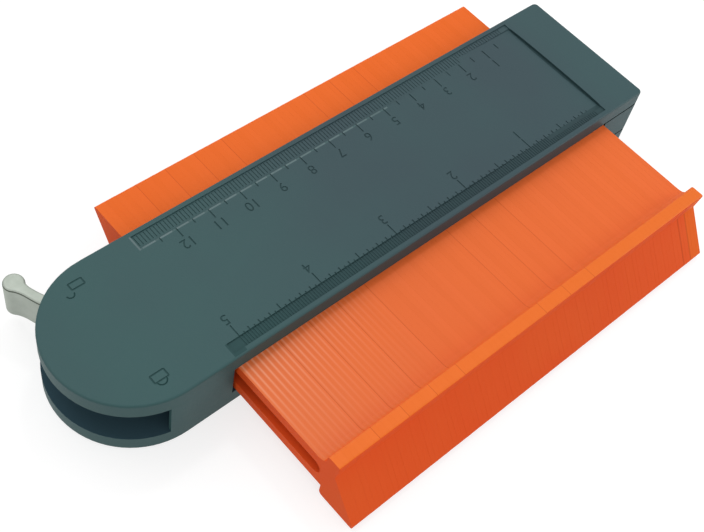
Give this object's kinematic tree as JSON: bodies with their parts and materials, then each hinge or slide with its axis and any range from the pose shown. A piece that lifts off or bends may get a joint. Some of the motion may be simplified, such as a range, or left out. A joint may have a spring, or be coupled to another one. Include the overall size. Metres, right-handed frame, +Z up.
{
  "type": "contour gauge",
  "caption": "Contour gauge: a row of thin sliding leaves between two covers copies a profile; a cam lever in the rounded end squeezes the row to hold the shape.",
  "frame": {"origin": "centre of the body's flat underside", "axes": "+X along the row of leaves towards the square end, +Y towards the plain ends of the leaves, +Z up from the underside to the ruler face"},
  "size_m": [0.185, 0.1022, 0.0206],
  "materials": {
    "body_plastic": "fine-textured moulded ABS, dark teal grey",
    "leaf_plastic": "satin moulded ABS, orange",
    "zinc": "die-cast zinc, satin",
    "steel": "bright steel",
    "rubber": "black rubber"
  },
  "bodies": {
    "body": {"top_cover": "body_plastic", "bottom_cover": "body_plastic", "end_block": "body_plastic", "front_spacer": "body_plastic", "back_spacer": "body_plastic", "guide_bar": "steel", "fixed_pad": "rubber", "pivot_pin": "steel", "cover_screws": "steel"},
    "lever": {"lever": "zinc"},
    "presser": {"press_block": "body_plastic", "press_pad": "rubber"},
    "leaf_group_01": {"leaf_group_01": "leaf_plastic"},
    "leaf_group_02": {"leaf_group_02": "leaf_plastic"},
    "leaf_group_03": {"leaf_group_03": "leaf_plastic"},
    "leaf_group_04": {"leaf_group_04": "leaf_plastic"},
    "leaf_group_05": {"leaf_group_05": "leaf_plastic"},
    "leaf_group_06": {"leaf_group_06": "leaf_plastic"},
    "leaf_group_07": {"leaf_group_07": "leaf_plastic"},
    "leaf_group_08": {"leaf_group_08": "leaf_plastic"},
    "leaf_group_09": {"leaf_group_09": "leaf_plastic"},
    "leaf_group_10": {"leaf_group_10": "leaf_plastic"},
    "leaf_group_11": {"leaf_group_11": "leaf_plastic"},
    "leaf_group_12": {"leaf_group_12": "leaf_plastic"},
    "leaf_group_13": {"leaf_group_13": "leaf_plastic"},
    "leaf_group_14": {"leaf_group_14": "leaf_plastic"},
    "leaf_group_15": {"leaf_group_15": "leaf_plastic"},
    "leaf_group_16": {"leaf_group_16": "leaf_plastic"},
    "leaf_group_17": {"leaf_group_17": "leaf_plastic"},
    "leaf_group_18": {"leaf_group_18": "leaf_plastic"},
    "leaf_group_19": {"leaf_group_19": "leaf_plastic"},
    "leaf_group_20": {"leaf_group_20": "leaf_plastic"},
    "leaf_group_21": {"leaf_group_21": "leaf_plastic"},
    "leaf_group_22": {"leaf_group_22": "leaf_plastic"},
    "leaf_group_23": {"leaf_group_23": "leaf_plastic"},
    "leaf_group_24": {"leaf_group_24": "leaf_plastic"},
    "leaf_group_25": {"leaf_group_25": "leaf_plastic"},
    "leaf_group_26": {"leaf_group_26": "leaf_plastic"},
    "leaf_group_27": {"leaf_group_27": "leaf_plastic"},
    "leaf_group_28": {"leaf_group_28": "leaf_plastic"},
    "leaf_group_29": {"leaf_group_29": "leaf_plastic"}
  },
  "joints": [
    {"name": "lever_turn", "type": "hinge", "parent": "body", "child": "lever", "pos_m": [-0.0705, 0, 0.0103], "axis": [0, 0, 1], "range_deg": [0, 122]},
    {"name": "press_slide", "type": "slide", "parent": "body", "child": "presser", "axis": [1, 0, 0], "range_m": [0, 0.001]},
    {"name": "leaf_slide_01", "type": "slide", "parent": "body", "child": "leaf_group_01", "axis": [0, 1, 0], "range_m": [-0.014, 0.0284]},
    {"name": "leaf_slide_02", "type": "slide", "parent": "body", "child": "leaf_group_02", "axis": [0, 1, 0], "range_m": [-0.014, 0.0284]},
    {"name": "leaf_slide_03", "type": "slide", "parent": "body", "child": "leaf_group_03", "axis": [0, 1, 0], "range_m": [-0.014, 0.0284]},
    {"name": "leaf_slide_04", "type": "slide", "parent": "body", "child": "leaf_group_04", "axis": [0, 1, 0], "range_m": [-0.014, 0.0284]},
    {"name": "leaf_slide_05", "type": "slide", "parent": "body", "child": "leaf_group_05", "axis": [0, 1, 0], "range_m": [-0.014, 0.0284]},
    {"name": "leaf_slide_06", "type": "slide", "parent": "body", "child": "leaf_group_06", "axis": [0, 1, 0], "range_m": [-0.014, 0.0284]},
    {"name": "leaf_slide_07", "type": "slide", "parent": "body", "child": "leaf_group_07", "axis": [0, 1, 0], "range_m": [-0.014, 0.0284]},
    {"name": "leaf_slide_08", "type": "slide", "parent": "body", "child": "leaf_group_08", "axis": [0, 1, 0], "range_m": [-0.014, 0.0284]},
    {"name": "leaf_slide_09", "type": "slide", "parent": "body", "child": "leaf_group_09", "axis": [0, 1, 0], "range_m": [-0.014, 0.0284]},
    {"name": "leaf_slide_10", "type": "slide", "parent": "body", "child": "leaf_group_10", "axis": [0, 1, 0], "range_m": [-0.014, 0.0284]},
    {"name": "leaf_slide_11", "type": "slide", "parent": "body", "child": "leaf_group_11", "axis": [0, 1, 0], "range_m": [-0.014, 0.0284]},
    {"name": "leaf_slide_12", "type": "slide", "parent": "body", "child": "leaf_group_12", "axis": [0, 1, 0], "range_m": [-0.014, 0.0284]},
    {"name": "leaf_slide_13", "type": "slide", "parent": "body", "child": "leaf_group_13", "axis": [0, 1, 0], "range_m": [-0.014, 0.0284]},
    {"name": "leaf_slide_14", "type": "slide", "parent": "body", "child": "leaf_group_14", "axis": [0, 1, 0], "range_m": [-0.014, 0.0284]},
    {"name": "leaf_slide_15", "type": "slide", "parent": "body", "child": "leaf_group_15", "axis": [0, 1, 0], "range_m": [-0.014, 0.0284]},
    {"name": "leaf_slide_16", "type": "slide", "parent": "body", "child": "leaf_group_16", "axis": [0, 1, 0], "range_m": [-0.014, 0.0284]},
    {"name": "leaf_slide_17", "type": "slide", "parent": "body", "child": "leaf_group_17", "axis": [0, 1, 0], "range_m": [-0.014, 0.0284]},
    {"name": "leaf_slide_18", "type": "slide", "parent": "body", "child": "leaf_group_18", "axis": [0, 1, 0], "range_m": [-0.014, 0.0284]},
    {"name": "leaf_slide_19", "type": "slide", "parent": "body", "child": "leaf_group_19", "axis": [0, 1, 0], "range_m": [-0.014, 0.0284]},
    {"name": "leaf_slide_20", "type": "slide", "parent": "body", "child": "leaf_group_20", "axis": [0, 1, 0], "range_m": [-0.014, 0.0284]},
    {"name": "leaf_slide_21", "type": "slide", "parent": "body", "child": "leaf_group_21", "axis": [0, 1, 0], "range_m": [-0.014, 0.0284]},
    {"name": "leaf_slide_22", "type": "slide", "parent": "body", "child": "leaf_group_22", "axis": [0, 1, 0], "range_m": [-0.014, 0.0284]},
    {"name": "leaf_slide_23", "type": "slide", "parent": "body", "child": "leaf_group_23", "axis": [0, 1, 0], "range_m": [-0.014, 0.0284]},
    {"name": "leaf_slide_24", "type": "slide", "parent": "body", "child": "leaf_group_24", "axis": [0, 1, 0], "range_m": [-0.014, 0.0284]},
    {"name": "leaf_slide_25", "type": "slide", "parent": "body", "child": "leaf_group_25", "axis": [0, 1, 0], "range_m": [-0.014, 0.0284]},
    {"name": "leaf_slide_26", "type": "slide", "parent": "body", "child": "leaf_group_26", "axis": [0, 1, 0], "range_m": [-0.014, 0.0284]},
    {"name": "leaf_slide_27", "type": "slide", "parent": "body", "child": "leaf_group_27", "axis": [0, 1, 0], "range_m": [-0.014, 0.0284]},
    {"name": "leaf_slide_28", "type": "slide", "parent": "body", "child": "leaf_group_28", "axis": [0, 1, 0], "range_m": [-0.014, 0.0284]},
    {"name": "leaf_slide_29", "type": "slide", "parent": "body", "child": "leaf_group_29", "axis": [0, 1, 0], "range_m": [-0.014, 0.0284]}
  ],
  "couplings": [
    {"joint": "press_slide", "follows": "lever_turn", "m_per_rad": 0.00046964}
  ]
}
